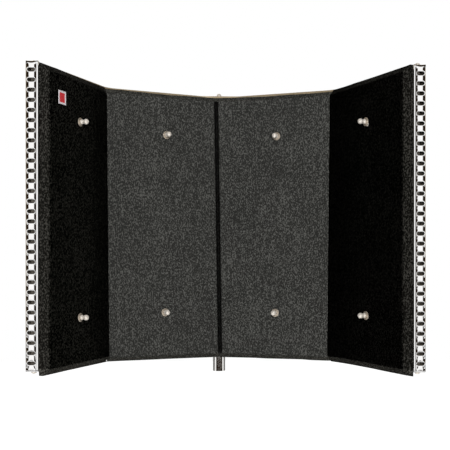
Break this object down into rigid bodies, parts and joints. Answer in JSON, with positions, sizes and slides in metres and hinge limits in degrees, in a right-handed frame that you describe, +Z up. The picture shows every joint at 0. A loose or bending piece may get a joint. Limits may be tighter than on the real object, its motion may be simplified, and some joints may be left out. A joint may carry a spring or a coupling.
{
  "type": "microphone reflection filter",
  "caption": "Bent acoustic screen with felt pads and slotted metal front edges, on a rear post that slides and turns in a clamp and tilts on a threaded stand socket.",
  "frame": {"origin": "middle of the stand socket's mouth, where the stand's thread enters", "axes": "+Z up, +Y away from the microphone, +X to the right seen from the microphone; the filter's hollow side faces -Y"},
  "size_m": [0.398, 0.264, 0.3381],
  "materials": {
    "felt": "dark woven wool felt",
    "wool": "soft absorber wool",
    "sheet": "satin sheet",
    "polished": "polished perforated sheet",
    "chrome": "bright chrome",
    "black_metal": "black powder coat",
    "plastic": "matte black moulding",
    "brass": "turned brass",
    "nylon": "natural nylon",
    "tag": "plain red woven tag"
  },
  "bodies": {
    "stand_mount": {"stand_socket": "black_metal", "tilt_bolt": "chrome"},
    "tilt_knob": {"tilt_knob": "plastic"},
    "clamp": {"clamp_body": "black_metal"},
    "pressure_pad": {"pressure_pad": "brass"},
    "clamp_screw": {"clamp_screw": "chrome", "clamp_knob": "plastic"},
    "bush": {"post_bush": "nylon"},
    "filter": {"wing_pad_left": "felt", "wing_pad_right": "felt", "centre_pad_left": "felt", "centre_pad_right": "felt", "woven_tag": "tag", "barrier_sheet": "sheet", "wool_blanket": "wool", "perforated_shell": "polished", "dome_stud_centre_left_low": "chrome", "dome_stud_centre_left_high": "chrome", "dome_stud_centre_right_low": "chrome", "dome_stud_centre_right_high": "chrome", "dome_stud_wing_left_low": "chrome", "dome_stud_wing_left_high": "chrome", "dome_stud_wing_right_low": "chrome", "dome_stud_wing_right_high": "chrome", "face_washer_centre_left_low": "chrome", "face_washer_centre_left_high": "chrome", "face_washer_centre_right_low": "chrome", "face_washer_centre_right_high": "chrome", "face_washer_wing_left_low": "chrome", "face_washer_wing_left_high": "chrome", "face_washer_wing_right_low": "chrome", "face_washer_wing_right_high": "chrome", "cap_nut_centre_left_low": "chrome", "cap_nut_centre_left_high": "chrome", "cap_nut_centre_right_low": "chrome", "cap_nut_centre_right_high": "chrome", "cap_nut_wing_left_low": "chrome", "cap_nut_wing_left_high": "chrome", "cap_nut_wing_right_low": "chrome", "cap_nut_wing_right_high": "chrome", "air_gap_spacer_left_low": "nylon", "air_gap_spacer_left_high": "nylon", "air_gap_spacer_right_low": "nylon", "air_gap_spacer_right_high": "nylon", "tie_bar_left": "black_metal", "tie_bar_right": "black_metal", "edge_screw_left_top": "chrome", "edge_screw_left_bottom": "chrome", "edge_screw_right_top": "chrome", "edge_screw_right_bottom": "chrome", "post_tube": "chrome", "post_plug": "black_metal", "post_dome_screw": "chrome", "top_bracket": "black_metal", "low_bracket": "black_metal", "bracket_rivet_top_left": "chrome", "bracket_rivet_top_right": "chrome", "bracket_rivet_low_left": "chrome", "bracket_rivet_low_right": "chrome"}
  },
  "joints": [
    {"name": "tilt", "type": "hinge", "parent": "stand_mount", "child": "clamp", "pos_m": [0, 0, 0.07], "axis": [1, 0, 0], "range_deg": [-30, 12]},
    {"name": "tilt_knob_turn", "type": "hinge", "parent": "stand_mount", "child": "tilt_knob", "pos_m": [0, 0, 0.07], "axis": [1, 0, 0], "range_deg": [0, 180]},
    {"name": "post_swivel", "type": "hinge", "parent": "clamp", "child": "bush", "pos_m": [0, -0.043, 0.07], "axis": [0, 0, 1], "range_deg": [-80, 80]},
    {"name": "height_slide", "type": "slide", "parent": "bush", "child": "filter", "axis": [0, 0, 1], "range_m": [-0.145, 0.06]},
    {"name": "clamp_screw_travel", "type": "slide", "parent": "clamp", "child": "pressure_pad", "axis": [0, 1, 0], "range_m": [0, 0.0025]},
    {"name": "clamp_knob_turn", "type": "hinge", "parent": "pressure_pad", "child": "clamp_screw", "pos_m": [0, 0, 0.11], "axis": [0, 1, 0], "range_deg": [0, 720]}
  ],
  "couplings": [
    {"joint": "clamp_knob_turn", "follows": "clamp_screw_travel", "rad_per_m": 5026.5}
  ]
}
